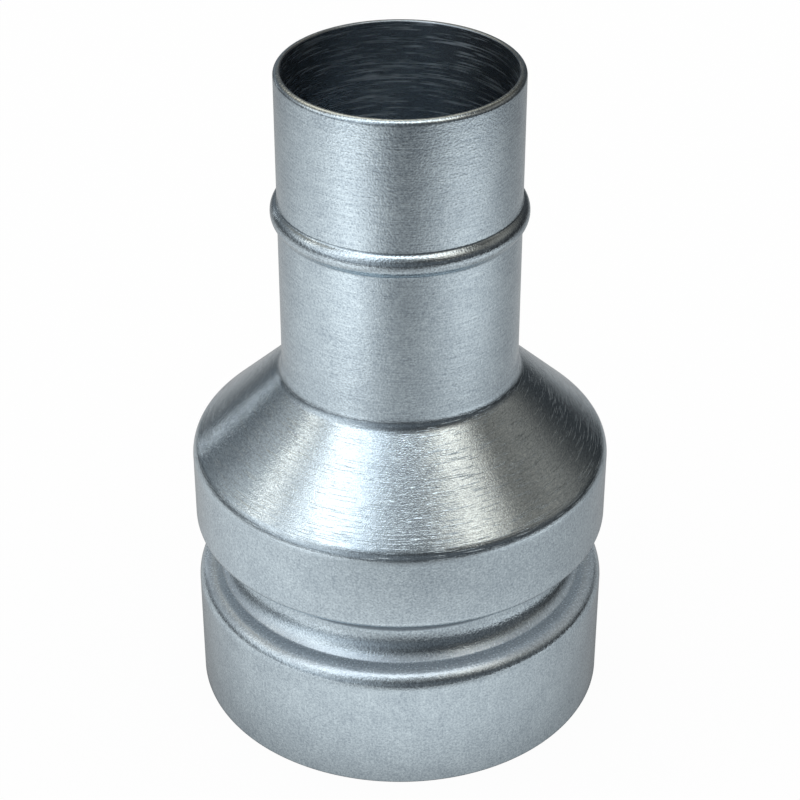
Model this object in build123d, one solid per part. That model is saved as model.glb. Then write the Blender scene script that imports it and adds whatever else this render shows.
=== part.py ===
from build123d import *
import os
from math import asin, cos, radians, tan

# Duct reducer, spun from one sheet of zinc-coated steel.
# Lengths are in millimetres and angles in degrees. +Z runs up the duct's axis.
# The origin is on that axis, at the large end's rim, on which the reducer stands.
# Diameters are outside diameters, unless a name says bore. Lengths stack up from
# the large end: collar, groove, body band, cone, tube. A bend is the radius on the
# inside of that bend in the sheet, so the other face turns at that radius plus wall.

# Sheet
wall = 1.5

# Large end: the collar
collar_diameter = 89.4
collar_length = 28.5
collar_bend = 2.1
collar_rim_round = 0.4

# Rolled groove between the collar and the body band. A roller with a round nose has
# pressed the hollow, and a narrow flat is left on each side of it.
groove_bore = 70.0
groove_width = 12.5
groove_hollow_depth = 3.1
groove_root_bend = 0.8

# Body band
body_diameter = 89.4
body_length = 18.2
body_foot_bend = 0.4
shoulder_bend = 2.7

# Cone
cone_slope = 43.6
neck_bend = 4.0

# Small end: a tube with a bead, which stops a hose or a pipe pushed over it
tube_diameter = 50.0
tube_length = 67.5
tube_rim_round = 1.0
tube_rim_inner_round = 0.35
bead_below_rim = 30.6
bead_rise = 1.45
bead_half_height = 2.9
bead_root_bend = 0.8

# Radii of the outer face
collar_radius = collar_diameter / 2
groove_radius = groove_bore / 2 + wall
body_radius = body_diameter / 2
tube_radius = tube_diameter / 2

# Levels, from the rim of the large end upwards
groove_foot = collar_length
groove_top = groove_foot + groove_width
shoulder = groove_top + body_length
neck = shoulder + (body_radius - tube_radius) * tan(radians(cone_slope))
height = neck + tube_length
bead_middle = height - bead_below_rim


def bead_line():
    """The outer line of the bead, from its top down to its foot.

    A crown arc stands proud of the tube by bead_rise, and a small hollow arc at
    each end carries it into the tube's wall. The three arcs meet tangentially, so
    the distance between the centres of two of them is the sum of their radii.
    """
    centres_apart = (bead_rise**2 + bead_half_height**2) / (2 * bead_rise)
    crown_radius = centres_apart - bead_root_bend
    crown_share = crown_radius / centres_apart
    crown_centre = tube_radius + bead_rise - crown_radius
    joint_radius = crown_centre + (centres_apart - bead_rise) * crown_share
    joint_rise = bead_half_height * crown_share

    top = (tube_radius, bead_middle + bead_half_height)
    upper_joint = (joint_radius, bead_middle + joint_rise)
    peak = (tube_radius + bead_rise, bead_middle)
    lower_joint = (joint_radius, bead_middle - joint_rise)
    foot = (tube_radius, bead_middle - bead_half_height)
    TangentArc(top, upper_joint, tangent=(0, -1))
    ThreePointArc(upper_joint, peak, lower_joint)
    TangentArc(foot, lower_joint, tangent=(0, 1))
    return top, foot


def groove_room():
    """How far the groove is set in from the collar and the body band."""
    return min(body_radius, collar_radius) - groove_radius


def groove_line():
    """The corners of the groove's hollow, from the top down, each with its bend.

    The hollow is an arc that touches the groove's bore in the middle. Its two sides
    lean out a little less than an arc over the whole width would, which leaves the
    length for the small bend between each side and the flat beside it.
    """
    depth = min(groove_hollow_depth, 0.4 * groove_room())
    half = groove_width / 2
    whole_arc = (half**2 + depth**2) / (2 * depth)
    lean = 0.93 * asin(min(half / whole_arc, 0.97))
    hollow_bend = (half * tan(lean) - depth) / (1 / cos(lean) - 1)
    root_bend = min(groove_root_bend, 0.1 * groove_room())
    root_radius = groove_radius + depth
    corners = [
        (root_radius, groove_top),
        (root_radius - half * tan(lean), groove_foot + half),
        (root_radius, groove_foot),
    ]
    return corners, [root_bend, hollow_bend, root_bend]


with BuildPart() as shell:
    with BuildSketch(Plane.XZ) as sheet:
        with BuildLine() as outer_face:
            bead_top, bead_foot = bead_line()
            Line((tube_radius, height), bead_top)
            groove_corners, groove_bends = groove_line()
            FilletPolyline(
                bead_foot,
                (tube_radius, neck),
                (body_radius, shoulder),
                (body_radius, groove_top),
                *groove_corners,
                (collar_radius, groove_foot),
                (collar_radius, 0),
                radius=[
                    neck_bend,
                    shoulder_bend + wall,
                    min(body_foot_bend + wall, 0.5 * groove_room()),
                    *groove_bends,
                    min(collar_bend + wall, 0.5 * groove_room()),
                ],
            )
            offset(amount=wall, side=Side.RIGHT, kind=Kind.TANGENT)
        make_face()

        # The small end's rim is rolled round on its outer edge, and both rims
        # are free of sharp edges.
        tube_rim = sheet.vertices().group_by(Axis.Y)[-1].sort_by(Axis.X)
        fillet(tube_rim[-1], radius=min(tube_rim_round, 0.7 * wall))
        tube_rim = sheet.vertices().group_by(Axis.Y)[-1].sort_by(Axis.X)
        fillet(tube_rim[0], radius=min(tube_rim_inner_round, 0.25 * wall))
        collar_rim = sheet.vertices().group_by(Axis.Y)[0]
        fillet(collar_rim, radius=min(collar_rim_round, 0.4 * wall))
    revolve(axis=Axis.Z)

reducer_shell = shell.part
reducer_shell.label = "reducer_shell"

os.makedirs("parts", exist_ok=True)
export_step(reducer_shell, "parts/reducer_shell.step")

print("height", round(height, 2), "bead middle", round(bead_middle, 2), "neck", round(neck, 2))
print("groove corners", groove_corners, "bends", groove_bends)
print("volume", round(reducer_shell.volume, 1))
print("box", reducer_shell.bounding_box())
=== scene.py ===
# %% [markdown]
# # A spun duct reducer
#
# This lesson finishes a duct reducer that is spun from one sheet of zinc-coated
# steel. A disc is pressed over a turning former with a roller, which leaves fine
# lines that run round the axis. Then a bead and a groove are rolled in.
#
# The solid model arrives as a fixed frame. It has the right sizes, but its surface
# is a coarse net of triangles, and bright metal shows every one of them. So the
# lesson spins a fine skin of the same section, and spends the rest on the zinc.

# %% Load the frame
import math

import bpy
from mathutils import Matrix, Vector


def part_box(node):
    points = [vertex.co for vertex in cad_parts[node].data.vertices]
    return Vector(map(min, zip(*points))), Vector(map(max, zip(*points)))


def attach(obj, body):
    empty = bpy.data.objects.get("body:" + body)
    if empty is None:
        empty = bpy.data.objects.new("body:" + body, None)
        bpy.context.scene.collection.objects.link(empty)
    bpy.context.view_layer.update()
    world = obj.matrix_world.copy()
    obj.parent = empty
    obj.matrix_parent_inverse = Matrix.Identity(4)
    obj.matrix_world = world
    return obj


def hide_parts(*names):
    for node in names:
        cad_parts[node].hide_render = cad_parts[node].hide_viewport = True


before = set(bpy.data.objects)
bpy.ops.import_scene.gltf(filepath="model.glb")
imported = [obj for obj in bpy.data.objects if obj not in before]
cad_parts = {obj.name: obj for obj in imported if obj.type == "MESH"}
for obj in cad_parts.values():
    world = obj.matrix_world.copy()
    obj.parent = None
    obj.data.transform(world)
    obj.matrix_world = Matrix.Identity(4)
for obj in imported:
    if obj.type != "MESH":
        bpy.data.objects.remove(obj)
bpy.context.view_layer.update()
solid_low, solid_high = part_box("reducer_shell")
print("solid shell from", tuple(solid_low), "to", tuple(solid_high))

# %% [markdown]
# ## The sizes
#
# Blender works in metres. Each size below is the one that the solid model was made
# with, so that the skin lies on the solid. A bend is the radius on the inside of
# that bend in the sheet. The other face turns at that radius plus the wall.

# %% Sizes of the section
MM = 0.001

wall = 1.5 * MM

collar_radius = 44.7 * MM
collar_length = 28.5 * MM
collar_bend = 2.1 * MM
collar_rim_round = 0.4 * MM

groove_radius = 36.5 * MM
groove_width = 12.5 * MM
groove_hollow_depth = 3.1 * MM
groove_root_bend = 0.8 * MM

body_radius = 44.7 * MM
body_length = 18.2 * MM
body_foot_bend = 0.4 * MM
shoulder_bend = 2.7 * MM

cone_slope = math.radians(43.6)
neck_bend = 4.0 * MM

tube_radius = 25.0 * MM
tube_length = 67.5 * MM
tube_rim_round = 1.0 * MM
tube_rim_inner_round = 0.35 * MM
bead_below_rim = 30.6 * MM
bead_rise = 1.45 * MM
bead_half_height = 2.9 * MM
bead_root_bend = 0.8 * MM

groove_foot = collar_length
groove_top = groove_foot + groove_width
shoulder = groove_top + body_length
neck = shoulder + (body_radius - tube_radius) * math.tan(cone_slope)
height = neck + tube_length
bead_middle = height - bead_below_rim
print("height", round(height / MM, 2), "mm, solid", round(solid_high.z / MM, 2), "mm")

# %% [markdown]
# ## The section of the sheet
#
# A spun part is a section turned about an axis, so all of its shape is in one
# outline. Here the outline is a loop of corners, each with a radius of its own.
# Walking down the outer face gives one run of corners. The inner face is the same
# run moved inwards by the wall, with each radius made smaller or larger by it.
#
# The bead and the groove are the round forms. The bead's crown arc is laid in the
# corner between two sloping flanks, and the slope is chosen so that the arcs just
# touch. The groove's hollow is a large arc between two sides that lean out from its
# bore, a little less than an arc over its whole width would.

# %% Corners of the outer face
GROOVE_LEAN_SHARE = 0.93

bead_flank = 2 * math.atan(bead_rise / bead_half_height)
bead_crown = bead_half_height / math.sin(bead_flank) - bead_root_bend
bead_corner = bead_half_height - bead_root_bend * math.tan(bead_flank / 2)
bead_apex = tube_radius + bead_corner * math.tan(bead_flank)

groove_half = groove_width / 2
whole_arc = (groove_half**2 + groove_hollow_depth**2) / (2 * groove_hollow_depth)
groove_lean = GROOVE_LEAN_SHARE * math.asin(groove_half / whole_arc)
lean_rise = groove_half * math.tan(groove_lean)
groove_hollow = (lean_rise - groove_hollow_depth) / (1 / math.cos(groove_lean) - 1)
groove_root = groove_radius + groove_hollow_depth
groove_apex = groove_root - lean_rise

# Each corner is its place, as a distance from the axis and a height, and its bend.
outer_face = [
    (Vector((tube_radius, bead_middle + bead_corner)), bead_root_bend),
    (Vector((bead_apex, bead_middle)), bead_crown - wall),
    (Vector((tube_radius, bead_middle - bead_corner)), bead_root_bend),
    (Vector((tube_radius, neck)), neck_bend),
    (Vector((body_radius, shoulder)), shoulder_bend),
    (Vector((body_radius, groove_top)), body_foot_bend),
    (Vector((groove_root, groove_top)), groove_root_bend),
    (Vector((groove_apex, groove_foot + groove_half)), groove_hollow),
    (Vector((groove_root, groove_foot)), groove_root_bend),
    (Vector((collar_radius, groove_foot)), collar_bend),
]
tube_rim = (Vector((tube_radius, height)), tube_rim_round)
collar_rim = (Vector((collar_radius, 0.0)), collar_rim_round)
print("bead crown", round(bead_crown / MM, 2), "mm, groove hollow", round(groove_hollow / MM, 2), "mm")

# %% [markdown]
# ## From the outer face to the whole loop
#
# Where the sheet turns away from the outside, the bend's small radius is on the
# inner face, and the outer face turns at the bend plus the wall. At a hollow it is
# the other way round. The sign of the turn says which one it is.

# %% The whole loop of corners
def left_of(direction):
    """The normal on the left of a direction, which is the outer side on the way down."""
    return Vector((-direction.y, direction.x))


def turn_at(before, corner, after):
    """The angle by which the path turns at a corner, positive to the left."""
    way_in = (corner - before).normalized()
    way_out = (after - corner).normalized()
    return math.atan2(way_in.x * way_out.y - way_in.y * way_out.x, way_in.dot(way_out))


def both_faces(face, start, end):
    """The closed loop of (corner, radius, inside) for a sheet with this outer face."""
    corners = [start[0]] + [corner for corner, bend in face] + [end[0]]
    outer, inner = [], []
    for number, (corner, bend) in enumerate(face, 1):
        before, after = corners[number - 1], corners[number + 1]
        crown = turn_at(before, corner, after) < 0
        sides = left_of((corner - before).normalized()), left_of((after - corner).normalized())
        inward = -wall * (sides[0] + sides[1]) / (1 + sides[0].dot(sides[1]))
        outer.append((corner, bend + wall if crown else bend, 0.0))
        inner.append((corner + inward, bend if crown else bend + wall, 1.0))
    step_in = Vector((-wall, 0))
    top = [(start[0] + step_in, tube_rim_inner_round, 1.0), (*start, 0.0)]
    foot = [(*end, 0.0), (end[0] + step_in, collar_rim_round, 1.0)]
    return top + outer + foot + inner[::-1]


section_corners = both_faces(outer_face, tube_rim, collar_rim)
print("the section has", len(section_corners), "corners")

# %% [markdown]
# ## Rounding the corners
#
# Each corner becomes an arc with a point every few degrees. Smooth shading blends
# the normals at each ring of points, and on a long flat wall that blend would show
# as a false shadow. A support ring close to each bend keeps the wall truly flat.

# %% The rounded section
DEGREES_PER_STEP = 6
FEWEST_STEPS = 3
SUPPORT = 0.35 * MM
DOUBLED = 0.001 * MM


def arc_at(before, corner, after, radius):
    """Points of the arc that rounds a corner, each with a mark that swells at its middle."""
    turn = turn_at(before, corner, after)
    way_in = (corner - before).normalized()
    side = math.copysign(1.0, turn)
    start = corner - way_in * radius * math.tan(abs(turn) / 2)
    centre = start + left_of(way_in) * radius * side
    arm = start - centre
    steps = max(FEWEST_STEPS, math.ceil(math.degrees(abs(turn)) / DEGREES_PER_STEP))
    points = []
    for step in range(steps + 1):
        share = step / steps
        cosine, sine = math.cos(turn * share), math.sin(turn * share)
        turned = Vector((arm.x * cosine - arm.y * sine, arm.x * sine + arm.y * cosine))
        points.append((centre + turned, -side * math.sin(math.pi * share)))
    return points


def rounded_section(corners):
    """The closed outline as rows of (point, bend mark, inside)."""
    arcs = []
    for number, (corner, radius, inside) in enumerate(corners):
        before = corners[number - 1][0]
        after = corners[(number + 1) % len(corners)][0]
        arcs.append([(point, mark, inside) for point, mark in arc_at(before, corner, after, radius)])
    rows = []
    for number, arc in enumerate(arcs):
        following = arcs[(number + 1) % len(arcs)]
        start, end = arc[-1][0], following[0][0]
        inside = min(arc[-1][2], following[0][2])
        rows += arc
        if (end - start).length > 4 * SUPPORT:
            way = (end - start).normalized()
            rows += [(start + way * SUPPORT, 0.0, inside), (end - way * SUPPORT, 0.0, inside)]
    # Arcs that touch share a point, and the second copy of it goes.
    return [row for number, row in enumerate(rows) if (row[0] - rows[number - 1][0]).length > DOUBLED]


section = rounded_section(section_corners)
print("the rounded section has", len(section), "points")

# %% [markdown]
# ## How far along the sheet
#
# The spin lines need to know how far along the sheet a point lies. The distance
# grows down the outer face and shrinks again up the inner face, so that it has no
# jump where the loop closes.

# %% Distance along the sheet
walked = [0.0]
for (point, *_), (following, *_) in zip(section, section[1:]):
    walked.append(walked[-1] + (following - point).length)
once_round = walked[-1] + (section[0][0] - section[-1][0]).length
along = [min(distance, once_round - distance) for distance in walked]
print("once round the section is", round(once_round / MM, 1), "mm")

# %% [markdown]
# ## Helpers for nodes
#
# A node tree in code is a list of nodes and the wires between them. One helper adds
# a node, sets its options, and feeds each input with a value or with a wire.

# %% Node helpers
def add_node(tree, kind, inputs=None, **options):
    """Adds a node. Inputs go by name or number, and each takes a value or an output."""
    node = tree.nodes.new(kind)
    for name, value in options.items():
        setattr(node, name, value)
    for key, value in (inputs or {}).items():
        if isinstance(value, bpy.types.NodeSocket):
            tree.links.new(value, node.inputs[key])
        else:
            node.inputs[key].default_value = value
    return node


def calculate(tree, operation, *values, clamp=False):
    """A Math node on up to three values, and its output."""
    node = add_node(tree, "ShaderNodeMath", dict(enumerate(values)), operation=operation, use_clamp=clamp)
    return node.outputs[0]


def blend(tree, factor, first, second):
    """A mix of two colours, and its output."""
    return add_node(tree, "ShaderNodeMix", {0: factor, 6: first, 7: second}, data_type="RGBA").outputs[2]


def rise(tree, value, low, high, bottom=0.0, top=1.0):
    """A smooth step from bottom to top while the value goes from low to high."""
    inputs = {"Value": value, "From Min": low, "From Max": high, "To Min": bottom, "To Max": top}
    return add_node(tree, "ShaderNodeMapRange", inputs, interpolation_type="SMOOTHSTEP").outputs[0]


def open_group(tree, inputs, outputs):
    """Gives a group its named inputs, as (name, kind, default), and its named outputs."""
    for name, kind, default in inputs:
        socket = tree.interface.new_socket(name, in_out="INPUT", socket_type="NodeSocket" + kind)
        if default is not None:
            socket.default_value = default
    for name, kind in outputs:
        tree.interface.new_socket(name, in_out="OUTPUT", socket_type="NodeSocket" + kind)
    return add_node(tree, "NodeGroupInput").outputs, add_node(tree, "NodeGroupOutput").inputs


def product(tree, first, second):
    """The product of two values, and its output."""
    return calculate(tree, "MULTIPLY", first, second)


def add_up(tree, start, *terms, clamp=False):
    """A start plus each value times its weight. Clamping holds the last sum between 0 and 1."""
    total = start
    for number, (value, weight) in enumerate(terms, 1):
        total = calculate(tree, "MULTIPLY_ADD", value, weight, total, clamp=clamp and number == len(terms))
    return total


print("node helpers are ready")

# %% [markdown]
# ## Spinning the sheet
#
# The shape follows a rule, so Geometry Nodes make it, as a lathe would. The section
# is a loop of edges. Curve to Mesh carries it round a circle, which closes the seam
# by itself. The marks on the section's points ride along, and later tell the zinc
# where the sheet is bent and how far along it a point lies.

# %% The section as a mesh
def section_mesh(turning_radius):
    """The outline as edges, measured from the circle that it is carried round."""
    mesh = bpy.data.meshes.new("sheet_section")
    count = len(section)
    points = [(point.x - turning_radius, -point.y, 0.0) for point, mark, inside in section]
    mesh.from_pydata(points, [(number, (number + 1) % count) for number in range(count)], [])
    marks = {
        "bend": [mark for point, mark, inside in section],
        "inside": [inside for point, mark, inside in section],
        "along": along,
    }
    for name, values in marks.items():
        mesh.attributes.new(name, "FLOAT", "POINT").data.foreach_set("value", values)
    return mesh


# %% The lathe tree
def lathe_tree():
    """Carries a section round a circle, smooths it and paints its two faces."""
    tree = bpy.data.node_groups.new("spin_the_sheet", "GeometryNodeTree")
    given, result = open_group(
        tree,
        [
            ("Section", "Geometry", None),
            ("Turning Radius", "Float", tube_radius),
            ("Steps Round", "Int", 64),
            ("Outside Finish", "Material", None),
            ("Inside Finish", "Material", None),
        ],
        [("Shell", "Geometry")],
    )
    circle = add_node(tree, "GeometryNodeCurvePrimitiveCircle",
                      {"Resolution": given["Steps Round"], "Radius": given["Turning Radius"]})
    upright = add_node(tree, "GeometryNodeSetCurveNormal", {"Curve": circle.outputs[0]}, mode="Z_UP")
    loop = add_node(tree, "GeometryNodeMeshToCurve", {"Mesh": given["Section"]})
    swept = add_node(tree, "GeometryNodeCurveToMesh",
                     {"Curve": upright.outputs[0], "Profile Curve": loop.outputs[0]})
    smooth = add_node(tree, "GeometryNodeSetShadeSmooth", {"Geometry": swept.outputs[0]})
    real = add_node(tree, "GeometryNodeRealizeInstances", {"Geometry": smooth.outputs[0]})
    outside = add_node(tree, "GeometryNodeSetMaterial",
                       {"Geometry": real.outputs[0], "Material": given["Outside Finish"]})
    mark = add_node(tree, "GeometryNodeInputNamedAttribute", {"Name": "inside"})
    is_inside = add_node(tree, "FunctionNodeCompare", {0: mark.outputs[0], 1: 0.5}, operation="GREATER_THAN")
    both = add_node(tree, "GeometryNodeSetMaterial",
                    {"Geometry": outside.outputs[0], "Selection": is_inside.outputs[0],
                     "Material": given["Inside Finish"]})
    tree.links.new(both.outputs[0], result["Shell"])
    return tree


lathe = lathe_tree()
print("the lathe tree has", len(lathe.nodes), "nodes")

# %% [markdown]
# ## The look of zinc on spun steel
#
# Fine spin lines run round the axis. The zinc itself has a speckled grain, because its crystals lie at
# slightly different angles. Where the sheet is bent, the zinc is rubbed a little brown. Painted shade
# darkens the groove's upper half and the small hollows of the tube, and the groove's foot is painted pale
# and matt, a painted sheen that stands in for a bright reflection.
#
# The marks and the grain are node groups with named inputs, so that the outer and
# the inner face can share them with values of their own. The groups put out plain
# values only, and the shader stays in the material.

# %% Group: marks laid on the sheet
def sheet_marks_group():
    """Noise stretched on the sheet: its marks are so long round the axis and so wide along it."""
    tree = bpy.data.node_groups.new("sheet_marks", "ShaderNodeTree")
    given, result = open_group(
        tree,
        [
            ("Place", "Vector", None),
            ("Along", "Float", 0.0),
            ("Length Round", "Float", 5 * MM),
            ("Width Along", "Float", 0.25 * MM),
            ("Typical Radius", "Float", 35 * MM),
            ("Detail", "Float", 1.0),
            ("Offset", "Float", 0.0),
        ],
        [("Marks", "Float")],
    )
    flat = add_node(tree, "ShaderNodeVectorMath", {0: given["Place"], 1: (1, 1, 0)}, operation="MULTIPLY")
    unit = add_node(tree, "ShaderNodeVectorMath", {0: flat.outputs[0]}, operation="NORMALIZE")
    turns = calculate(tree, "DIVIDE", given["Typical Radius"], given["Length Round"])
    ring = add_node(tree, "ShaderNodeVectorMath", {0: unit.outputs[0], "Scale": turns}, operation="SCALE")
    steps = calculate(tree, "DIVIDE", given["Along"], given["Width Along"])
    level = calculate(tree, "ADD", steps, given["Offset"])
    lift = add_node(tree, "ShaderNodeCombineXYZ", {"Z": level})
    where = add_node(tree, "ShaderNodeVectorMath", {0: ring.outputs[0], 1: lift.outputs[0]}, operation="ADD")
    noise = add_node(tree, "ShaderNodeTexNoise", {"Vector": where.outputs[0], "Scale": 1.0,
                                                  "Detail": given["Detail"], "Roughness": 0.6})
    tree.links.new(noise.outputs["Fac"], result["Marks"])
    return tree


sheet_marks = sheet_marks_group()
print("the marks group has", len(sheet_marks.nodes), "nodes")

# %% Group: zinc grain
def zinc_grain_group():
    """The fine speckle of the zinc, and the soft clouds that it gathers in."""
    tree = bpy.data.node_groups.new("zinc_grain", "ShaderNodeTree")
    given, result = open_group(
        tree,
        [
            ("Place", "Vector", None),
            ("Grain Size", "Float", 0.35 * MM),
            ("Cloud Size", "Float", 6 * MM),
        ],
        [("Grain", "Float"), ("Clouds", "Float")],
    )
    grains = calculate(tree, "DIVIDE", 1.0, given["Grain Size"])
    broad = calculate(tree, "DIVIDE", 1.0, given["Cloud Size"])
    speckle = add_node(tree, "ShaderNodeTexNoise",
                       {"Vector": given["Place"], "Scale": grains, "Detail": 1.0, "Roughness": 0.6})
    clouds = add_node(tree, "ShaderNodeTexNoise",
                      {"Vector": given["Place"], "Scale": broad, "Detail": 3.0, "Roughness": 0.55})
    tree.links.new(speckle.outputs["Fac"], result["Grain"])
    tree.links.new(clouds.outputs["Fac"], result["Clouds"])
    return tree


zinc_grain = zinc_grain_group()
print("finish groups:", [group.name for group in bpy.data.node_groups])

# %% [markdown]
# ## The zinc material
#
# Spin lines spread every reflection across them, up and down the sheet, so the
# shader is anisotropic and its wide direction is turned by a quarter. Grain and
# lines also tilt the surface a little, which makes the reflections sparkle.
#
# The kinds of marks differ from place to place. The cone has hairlines, the tube
# has long fine lines, and the upright band and collar have short upright streaks,
# where the blank's own rolling marks were never worked over.

# %% Material helpers
ANISOTROPY = 0.6
QUARTER_TURN = 0.25


def start_material(name):
    """An empty node material."""
    material = bpy.data.materials.new(name)
    material.use_nodes = True
    material.node_tree.nodes.clear()
    return material, material.node_tree


def add_group(tree, group, inputs):
    """A group node. The group is given before its inputs, which only exist after it."""
    node = add_node(tree, "ShaderNodeGroup", node_tree=group)
    for name, value in inputs.items():
        if isinstance(value, bpy.types.NodeSocket):
            tree.links.new(value, node.inputs[name])
        else:
            node.inputs[name].default_value = value
    return node


def marks_node(tree, place, distance, length_round, width_along, typical_radius, detail=1.0, offset=0.0):
    """One use of the marks group, and its output."""
    return add_group(tree, sheet_marks, {
        "Place": place, "Along": distance, "Length Round": length_round, "Width Along": width_along,
        "Typical Radius": typical_radius, "Detail": detail, "Offset": offset,
    }).outputs["Marks"]


def carried(tree, attribute):
    """A mark that the mesh carries, and its output."""
    return add_node(tree, "ShaderNodeAttribute", attribute_name=attribute).outputs["Fac"]


def finish_metal(tree, colour, metal, matt, relief, relief_unit):
    """The shader, with relief as heights that are counted in the given unit."""
    bump = add_node(tree, "ShaderNodeBump", {"Height": relief, "Strength": 1.0, "Distance": relief_unit})
    shader = add_node(tree, "ShaderNodeBsdfPrincipled", {
        "Base Color": colour, "Metallic": metal, "Roughness": matt, "Anisotropic": ANISOTROPY,
        "Anisotropic Rotation": QUARTER_TURN, "Normal": bump.outputs["Normal"],
    })
    add_node(tree, "ShaderNodeOutputMaterial", {"Surface": shader.outputs["BSDF"]})


print("material helpers are ready")

# %% [markdown]
# ## Where on the outer face
#
# Masks say which stretch of the section a point lies on, so that each can carry its own marks. They fade
# into each other over a few millimetres, as a roller's traces do. The groove gets two masks of its own, for
# the painted shade and for the painted sheen.

# %% Masks of the outer face
def stretches(tree, level):
    """Masks of the cone, the tube, the upright walls below and the cone's foot, from the height."""
    tube = rise(tree, level, neck - 2 * MM, neck + 4 * MM)
    above_shoulder = rise(tree, level, shoulder - 4 * MM, shoulder + 1 * MM)
    cone = calculate(tree, "SUBTRACT", above_shoulder, tube, clamp=True)
    upright = calculate(tree, "SUBTRACT", 1.0, above_shoulder)
    near_shoulder = rise(tree, level, shoulder + 6 * MM, shoulder + 3 * MM)
    return cone, tube, upright, product(tree, cone, near_shoulder)


def painted_shade_mask(tree, level, bend, upright):
    """Painted shade under the band, in the groove's upper half, and in the small hollows of the tube."""
    groove_middle = groove_foot + groove_half
    above_middle = rise(tree, level, groove_middle - 0.5 * MM, groove_middle + 0.2 * MM)
    below_top = rise(tree, level, groove_top + 0.2 * MM, groove_top)
    under_band = product(tree, above_middle, below_top)
    small_hollows = calculate(tree, "SUBTRACT", rise(tree, bend, -0.1, -0.7), upright, clamp=True)
    return add_up(tree, product(tree, small_hollows, 0.12), (under_band, 0.85))


def painted_sheen_mask(tree, level, speckle):
    """A painted sheen on the groove's foot: a pale, matt patch that stands in for a bright reflection."""
    from_foot = calculate(tree, "ABSOLUTE", calculate(tree, "SUBTRACT", level, groove_foot))
    return product(tree, add_up(tree, 0.30, (speckle, 0.30)), rise(tree, from_foot, 1.8 * MM, 0.2 * MM))


print("groove foot at", round(groove_foot / MM, 1), "mm, top at", round(groove_top / MM, 1), "mm")

# %% [markdown]
# ## The outer face
#
# The colour starts as a run of zinc greys, chosen by the grain, the lines and soft clouds together. Wear,
# painted shade and a painted sheen are laid over it. The painted sheen is pale and shines less as a metal.
# The same grain and marks make the relief.

# %% The outer face
ZINC_SHADE, ZINC_SHINE = (0.34, 0.415, 0.485, 1), (0.80, 0.93, 1.0, 1)
WORN_ZINC = (0.34, 0.32, 0.28, 1)
# The colour of the painted shade in the groove and the hollows.
PAINTED_SHADE_COLOUR = (0.13, 0.16, 0.19, 1)
# The pale colour of the painted sheen on the groove's foot.
PAINTED_SHEEN_COLOUR = (0.62, 0.72, 0.82, 1)


def outside_zinc():
    """The outer face of the shell."""
    material, tree = start_material("zinc_outside")
    place = add_node(tree, "ShaderNodeTexCoord").outputs["Object"]
    level = add_node(tree, "ShaderNodeSeparateXYZ", {0: place}).outputs["Z"]
    distance, bend = carried(tree, "along"), carried(tree, "bend")
    cone, tube, upright, cone_foot = stretches(tree, level)

    grain = add_group(tree, zinc_grain, {"Place": place, "Grain Size": 0.42 * MM, "Cloud Size": 7 * MM})
    coarse, clouds = grain.outputs["Grain"], grain.outputs["Clouds"]
    fine = add_group(tree, zinc_grain, {"Place": place, "Grain Size": 0.25 * MM}).outputs["Grain"]
    speckle = add_node(tree, "ShaderNodeMix", {0: cone, 2: coarse, 3: fine}).outputs[0]

    # Each kind of mark has a length round the axis, a width along the sheet and a typical radius.
    hairlines = marks_node(tree, place, distance, 1.0 * MM, 0.24 * MM, 35 * MM)
    hairlines = product(tree, hairlines, cone)
    scratches = marks_node(tree, place, distance, 6 * MM, 0.22 * MM, 35 * MM, offset=200.0)
    scratches = product(tree, rise(tree, scratches, 0.60, 0.74), cone)
    tube_lines = marks_node(tree, place, distance, 6 * MM, 0.26 * MM, 25 * MM, detail=2.0, offset=40.0)
    tube_lines = product(tree, tube_lines, tube)
    streaks = marks_node(tree, place, distance, 0.45 * MM, 3.0 * MM, 44.5 * MM, offset=80.0)
    streaks = product(tree, streaks, upright)
    rings = marks_node(tree, place, distance, 300 * MM, 0.60 * MM, 42 * MM, offset=160.0)
    rings = product(tree, rings, cone_foot)

    # The streaks carry less weight, so the upright walls get a constant in their place.
    lines = add_up(tree, hairlines, (tube_lines, 0.9), (streaks, 0.35))
    tone = add_up(tree, -0.82, (speckle, 1.4), (lines, 0.9), (upright, 0.29), (clouds, 0.5), clamp=True)
    worn = product(tree, rise(tree, bend, 0.2, 0.9), rise(tree, speckle, 0.62, 0.42))
    painted_sheen = painted_sheen_mask(tree, level, speckle)
    colour = blend(tree, tone, ZINC_SHADE, ZINC_SHINE)
    colour = blend(tree, product(tree, worn, 0.12), colour, WORN_ZINC)
    # Painted shade under the band and in the small hollows.
    colour = blend(tree, painted_shade_mask(tree, level, bend, upright), colour, PAINTED_SHADE_COLOUR)
    # A painted sheen: the groove's foot is pale and less metallic.
    colour = blend(tree, painted_sheen, colour, PAINTED_SHEEN_COLOUR)

    metal = calculate(tree, "SUBTRACT", 1.0, painted_sheen)
    matt = add_up(tree, 0.12, (speckle, 0.12), (cone, -0.03), (painted_sheen, 0.15))

    # Heights are in millimetres. The coarse grain lies lower on the cone.
    coarse_height = add_up(tree, 0.050, (cone, -0.040))
    relief = add_up(
        tree,
        product(tree, coarse, coarse_height),
        (product(tree, fine, cone), 0.028),
        (hairlines, 0.014),
        (scratches, 0.030),
        (tube_lines, 0.024),
        (streaks, 0.010),
        (rings, 0.045),
    )
    finish_metal(tree, colour, metal, matt, relief, MM)
    return material


zinc_outside = outside_zinc()
print("the outer face has", len(zinc_outside.node_tree.nodes), "nodes")

# %% [markdown]
# ## The inner face
#
# The inner face was pressed on the former. Its zinc is painted darker than the outer one, as painted shade
# for the inside of the duct, and it has long bright marks round the axis, where the former's own lines
# rubbed it.

# %% The inner face
# The inner zinc is painted darker: painted shade for the inside of the duct.
INNER_ZINC_PAINTED_DARK, INNER_SHINE = (0.20, 0.24, 0.28, 1), (0.62, 0.70, 0.76, 1)


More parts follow.
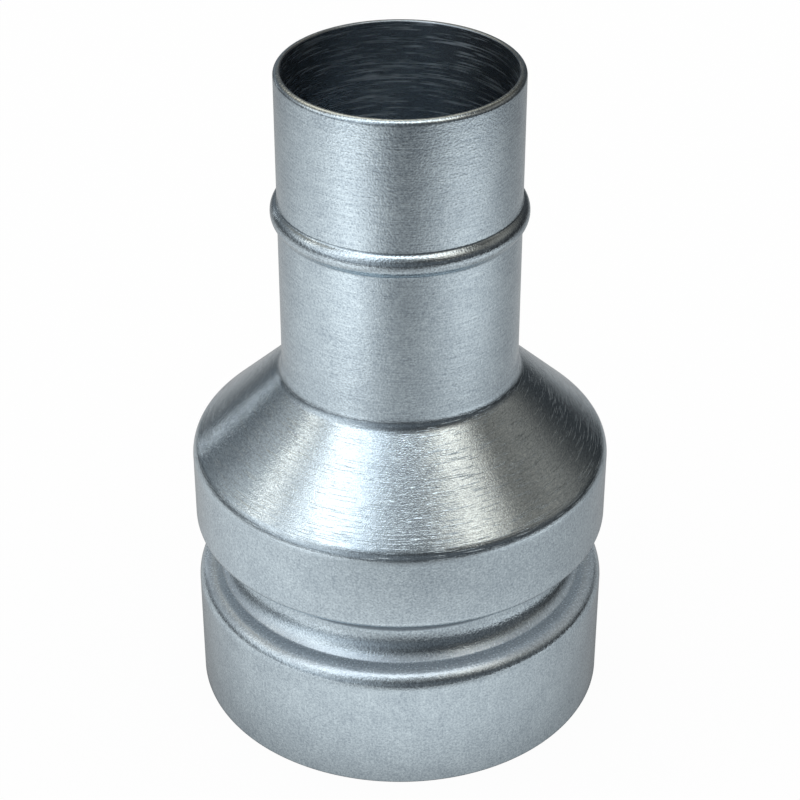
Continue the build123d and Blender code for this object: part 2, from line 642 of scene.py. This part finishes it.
def inside_zinc():
    """The inner face of the shell."""
    material, tree = start_material("zinc_inside")
    place = add_node(tree, "ShaderNodeTexCoord").outputs["Object"]
    distance = carried(tree, "along")
    grain = add_group(tree, zinc_grain, {"Place": place, "Grain Size": 0.30 * MM, "Cloud Size": 5 * MM})
    speckle, clouds = grain.outputs["Grain"], grain.outputs["Clouds"]
    scratches = marks_node(tree, place, distance, 9 * MM, 0.40 * MM, 23.5 * MM, detail=2.0, offset=120.0)
    bright_marks = rise(tree, scratches, 0.52, 0.68)

    shade = add_up(tree, -0.05, (clouds, 0.45), (bright_marks, 0.55), (speckle, 0.25), clamp=True)
    colour = blend(tree, shade, INNER_ZINC_PAINTED_DARK, INNER_SHINE)
    matt = add_up(tree, 0.26, (bright_marks, 0.16))
    relief = add_up(tree, speckle, (scratches, 1.6))
    finish_metal(tree, colour, 1.0, matt, relief, 0.03 * MM)
    return material


zinc_inside = inside_zinc()
print("the inner face has", len(zinc_inside.node_tree.nodes), "nodes")

# %% [markdown]
# ## Running the lathe
#
# The modifier's inputs are set by the sockets' identifiers before the object is
# first evaluated. The result is then copied to a plain mesh, and the modifier goes.

# %% The finished shell
STEPS_ROUND = 256


def set_inputs(modifier, **values):
    """Sets a Geometry Nodes modifier's inputs by their names, through the identifiers."""
    for item in modifier.node_group.interface.items_tree:
        key = item.name.replace(" ", "_").lower()
        if item.in_out == "INPUT" and key in values:
            modifier[item.identifier] = values[key]


def spin_shell():
    """The skin of the whole reducer, as one plain mesh."""
    blank = bpy.data.objects.new("sheet_section", section_mesh(tube_radius))
    bpy.context.scene.collection.objects.link(blank)
    modifier = blank.modifiers.new("spin", "NODES")
    modifier.node_group = lathe
    set_inputs(modifier, turning_radius=tube_radius, steps_round=STEPS_ROUND,
               outside_finish=zinc_outside, inside_finish=zinc_inside)
    evaluated = blank.evaluated_get(bpy.context.evaluated_depsgraph_get())
    mesh = bpy.data.meshes.new_from_object(evaluated)
    mesh.name = "spun_shell"
    bpy.data.objects.remove(blank)
    made = bpy.data.objects.new("spun_shell", mesh)
    bpy.context.scene.collection.objects.link(made)
    return made


shell = spin_shell()
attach(shell, "root")
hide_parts("reducer_shell")
volume = sum(face.normal.dot(face.center) * face.area for face in shell.data.polygons) / 3
print("shell:", len(shell.data.polygons), "faces, sheet volume", round(volume / MM**3, 1), "mm3")

# %% [markdown]
# ## The floor
#
# The reducer stands on a white floor that runs out of view. Its material shows the
# eye and the metal a nearly pure white, and keeps a share of plain diffuse shading,
# so that the object's soft shadow stays.

# %% Floor
floor_white = 0.95
floor_paint = (0.92, 0.92, 0.92, 1)
floor_reach = 5.0


def floor_material():
    """Nearly plain white for the camera and for reflections, and white paint for all other light."""
    material, tree = start_material("white_floor")
    rays = add_node(tree, "ShaderNodeLightPath").outputs
    seen = calculate(tree, "MAXIMUM", rays["Is Camera Ray"], rays["Is Glossy Ray"])
    seen = calculate(tree, "MAXIMUM", seen, rays["Is Transmission Ray"])
    share = calculate(tree, "MULTIPLY", seen, floor_white)
    shaded = add_node(tree, "ShaderNodeBsdfDiffuse", {"Color": floor_paint})
    glow = add_node(tree, "ShaderNodeEmission", {"Color": (1, 1, 1, 1), "Strength": 1.0})
    mixed = add_node(tree, "ShaderNodeMixShader", {0: share, 1: shaded.outputs[0], 2: glow.outputs[0]})
    add_node(tree, "ShaderNodeOutputMaterial", {"Surface": mixed.outputs[0]})
    return material


def plain_object(name, points, faces, material):
    """A mesh object from points and faces, with one material."""
    mesh = bpy.data.meshes.new(name)
    mesh.from_pydata(points, [], faces)
    mesh.materials.append(material)
    made = bpy.data.objects.new(name, mesh)
    bpy.context.scene.collection.objects.link(made)
    return made


floor_points = [(x * floor_reach, y * floor_reach, 0) for x, y in ((-1, -1), (1, -1), (1, 1), (-1, 1))]
floor = plain_object("floor", floor_points, [(0, 1, 2, 3)], floor_material())
print("the floor is", 2 * floor_reach, "m wide")

# %% [markdown]
# ## The light tent
#
# Metal shows its surroundings, so a bright room all round would leave it flat. It is
# photographed in a tent of thin white cloth, which glows where a softbox stands
# behind it and stays dark in between. The dark parts draw the lines that follow
# every rounded edge, and the glowing ones give the broad and narrow shines.
#
# The tent's foot is a sheet of paper on the table. Both show in reflections alone.
# A direction is given as azimuth and elevation in degrees, from a point in the
# middle of the object. Azimuth 0 is the camera's side, and it grows to the right.

# %% Directions
aim = Vector((0, 0, 0.07))


def direction(azimuth, elevation):
    """A unit vector for an azimuth and elevation."""
    turn, lift = math.radians(azimuth), math.radians(elevation)
    return Vector((math.sin(turn) * math.cos(lift), -math.cos(turn) * math.cos(lift), math.sin(lift)))


print("directions start from", round(aim.z / MM), "mm above the floor")

# %% [markdown]
# ## Pools of light
#
# Each pool fades smoothly from its middle. Most of their places, widths and tones
# were not found by eye. They are round figures near those that a fit of the light
# to the photograph gave, as are the places of the two strip lamps further down. The
# brightnesses were then changed by comparing renders with the photograph, and the
# crown line and the two pools in front were added in the same way.

# %% Pools on the cloth and the paper
neutral = Vector((1.0, 1.0, 1.0))
amber = Vector((1.11, 1.00, 0.87))
warm = Vector((1.18, 1.02, 0.80))
cool = Vector((0.94, 1.00, 1.07))
ALL_ROUND = 9999
# How far the paper's glow is cut under the rim: a painted shadow.
RIM_SHADOW_ON_PAPER = 0.1

# Behind the cloth: azimuth, its half width, elevation, its half width, brightness, tone.
tent_pools = {
    # Overhead, the line on every crown comes from a narrow box just in front of the zenith.
    "overhead": (0, ALL_ROUND, 90, 20, 0.8, neutral),
    "crown_line": (0, 80, 72, 8, 2.8, neutral),
    # On the left, the main softbox fades towards the camera and down the wall.
    "main_softbox": (-55, 20, 50, 15, 2.0, neutral),
    "main_fade": (-30, 15, 50, 15, 1.0, cool),
    "left_wall": (-75, 35, 25, 15, 1.0, neutral),
    "left_foot": (-45, 30, 10, 15, 0.5, cool),
    # On the right, a small softbox warms the cone, and the wall stays dim.
    "right_softbox": (55, 20, 55, 15, 1.5, amber),
    "right_wall": (100, 30, 30, 15, 0.25, amber),
    # The front stays dark, so that the hollows do.
    "front_fill": (0, 30, 45, 10, 0.3, neutral),
    "front_foot": (0, 90, 10, 15, 0.15, cool),
    # The back.
    "back_softbox": (-160, 45, 55, 15, 1.2, warm),
    "back_foot": (-160, 45, 10, 20, 0.2, cool),
}
# On the paper: azimuth, its half width, distance in metres, its spread as a factor, brightness, tone.
paper_pools = {
    "all_round": (0, ALL_ROUND, 0.10, 3.0, 0.25, neutral),
    "under_collar": (0, 80, 0.07, 1.7, 0.55, neutral),
    "main_spill": (-40, 25, 0.27, 1.6, 0.9, neutral),
    "left_spill": (-75, 50, 0.25, 3.0, 0.6, neutral),
    "right_spill": (60, 40, 0.25, 1.7, 0.8, neutral),
    "back_spill": (180, 70, 0.25, 3.0, 0.3, neutral),
}


def pool(azimuth, middle, half_width, away):
    """A pool of light: 1 in its middle, fading smoothly round the axis and along it."""
    off = (azimuth - middle + 180) % 360 - 180
    return math.exp(-((off / half_width) ** 2) - away**2)


def tent_glow(azimuth, elevation):
    """The cloth's colour at a direction."""
    colour = Vector((0.0, 0.0, 0.0))
    for middle, half_width, lift, half_height, brightness, tone in tent_pools.values():
        colour += tone * brightness * pool(azimuth, middle, half_width, (elevation - lift) / half_height)
    return colour


def paper_glow(azimuth, distance):
    """The paper's colour at a distance. It is painted nearly dark where the rim touches it, a painted
    shadow.
    """
    colour = Vector((0.0, 0.0, 0.0))
    for middle, half_width, pool_distance, spread, brightness, tone in paper_pools.values():
        away = math.log(distance / pool_distance) / math.log(spread)
        colour += tone * brightness * pool(azimuth, middle, half_width, away)
    return colour if distance > collar_radius else colour * RIM_SHADOW_ON_PAPER


print(len(tent_pools), "pools on the cloth,", len(paper_pools), "on the paper")

# %% [markdown]
# ## The cloth and the paper
#
# Both are meshes of rings round the axis, and each point carries its glow as a colour. The paper's rings
# stand closer to each other near the object, where its light changes fast. Its first ring lies just inside
# the rim and carries a painted shadow, so that the rim's underside reflects a dark line and not the white
# floor.

# %% The cloth and the paper
TENT_DISTANCE = 1.1
TENT_STEP = 4
CLOTH_TURNS = 120
PAPER_LEVEL = 0.02 * MM
FIRST_PAPER_RING = 45.1 * MM
PAPER_GROWTH = 1.17
PAPER_RINGS = 22


def tent_material():
    """A glow that reads its colour from the mesh."""
    material, tree = start_material("tent_cloth")
    glow = add_node(tree, "ShaderNodeAttribute", attribute_name="glow")
    light = add_node(tree, "ShaderNodeEmission", {"Color": glow.outputs["Color"], "Strength": 1.0})
    add_node(tree, "ShaderNodeOutputMaterial", {"Surface": light.outputs[0]})
    return material


def hang_cloth(name, rings):
    """A cloth round the axis, from rings of (distance, height, glow for an azimuth)."""
    points, colours, faces = [], [], []
    for number in range(CLOTH_TURNS):
        azimuth = 360 * number / CLOTH_TURNS
        for distance, level, glow in rings:
            points.append(direction(azimuth, 0) * distance + Vector((0, 0, level)))
            colours += [*glow(azimuth), 1.0]
    count = len(rings)
    for number in range(CLOTH_TURNS):
        here, there = number * count, (number + 1) % CLOTH_TURNS * count
        faces += [(here + k, there + k, there + k + 1, here + k + 1) for k in range(count - 1)]
    hung = plain_object(name, points, faces, tent_material())
    hung.data.attributes.new("glow", "FLOAT_COLOR", "POINT").data.foreach_set("color", colours)
    hung.visible_camera = False
    hung.visible_diffuse = False
    hung.visible_shadow = False
    hung.visible_transmission = False


def tent_ring(elevation):
    """A ring of the tent's dome."""
    way = direction(0, elevation) * TENT_DISTANCE
    return -way.y, aim.z + way.z, lambda azimuth: tent_glow(azimuth, elevation)


def paper_ring(distance):
    """A ring of the paper, just over the floor."""
    return distance, PAPER_LEVEL, lambda azimuth: paper_glow(azimuth, distance)


dome = [tent_ring(elevation) for elevation in range(-TENT_STEP, 90, TENT_STEP)]
# The ring under the rim carries a painted shadow.
rim_shadow_ring = [paper_ring(collar_radius - 0.2 * MM)]
spread_out = [paper_ring(FIRST_PAPER_RING * PAPER_GROWTH**step) for step in range(PAPER_RINGS)]
hang_cloth("tent_cloth", dome)
hang_cloth("table_paper", rim_shadow_ring + spread_out)
print("tent and paper are up")

# %% [markdown]
# ## Lamps
#
# The even light of the room comes from the world, below. Two narrow strip lamps
# stand inside the tent and draw thin bright lines down the left of the metal.

# %% Strip lamps
LAMP_DISTANCE = 0.7
POWER_PER_RADIANCE = 4


def softbox(name, azimuth, elevation, width, tall, radiance, colour=(1, 1, 1)):
    """A rectangular lamp that faces the object. Its width and height are in degrees."""
    lamp = bpy.data.lights.new(name, "AREA")
    lamp.shape = "RECTANGLE"
    lamp.size = 2 * LAMP_DISTANCE * math.tan(math.radians(width / 2))
    lamp.size_y = 2 * LAMP_DISTANCE * math.tan(math.radians(tall / 2))
    lamp.energy = POWER_PER_RADIANCE * radiance * lamp.size * lamp.size_y
    lamp.color = colour
    stand = bpy.data.objects.new(name, lamp)
    way = direction(azimuth, elevation)
    stand.location = aim + way * LAMP_DISTANCE
    stand.rotation_euler = way.to_track_quat("Z", "Y").to_euler()
    stand.visible_camera = False
    bpy.context.scene.collection.objects.link(stand)


softbox("left_strip", -88, 38, 5, 16, 1.35, (1.0, 0.90, 0.78))
softbox("back_left_strip", -135, 5, 3, 15, 0.8)
print("lamps:", [lamp.name for lamp in bpy.data.lights])

# %% [markdown]
# ## The room
#
# The world is plain white. Seen by the camera or in a reflection it has a strength
# of 1, and the light that it casts is a little weaker.

# %% World
room_light = 0.95

world = bpy.data.worlds.new("studio_air")
world.use_nodes = True
bpy.context.scene.world = world
world_tree = world.node_tree
world_rays = add_node(world_tree, "ShaderNodeLightPath").outputs
world_seen = calculate(world_tree, "MAXIMUM", world_rays["Is Camera Ray"], world_rays["Is Glossy Ray"])
world_seen = calculate(world_tree, "MAXIMUM", world_seen, world_rays["Is Transmission Ray"])
world_strength = calculate(world_tree, "MULTIPLY_ADD", world_seen, 1.0 - room_light, room_light)
background = world_tree.nodes["Background"]
background.inputs["Color"].default_value = (1, 1, 1, 1)
world_tree.links.new(world_strength, background.inputs["Strength"])
bpy.context.scene.view_settings.view_transform = "Standard"
print("room light", room_light)

# %% [markdown]
# ## The camera
#
# The camera looks down on the reducer at the photograph's angle. Its place and lens
# come from fitting the object's ellipses and outline to the picture.

# %% Camera
LENS = 99.38
CAMERA_BACK = 399.6 * MM
CAMERA_LEVEL = 321.53 * MM
CAMERA_TILT = math.radians(90 - 32.345)

camera_data = bpy.data.cameras.new("camera")
camera_data.lens = LENS
camera = bpy.data.objects.new("camera", camera_data)
camera.location = (0.0, -CAMERA_BACK, CAMERA_LEVEL)
camera.rotation_euler = (CAMERA_TILT, 0.0, 0.0)
bpy.context.scene.collection.objects.link(camera)
bpy.context.scene.camera = camera
print("camera at", [round(value / MM, 1) for value in camera.location], "mm")
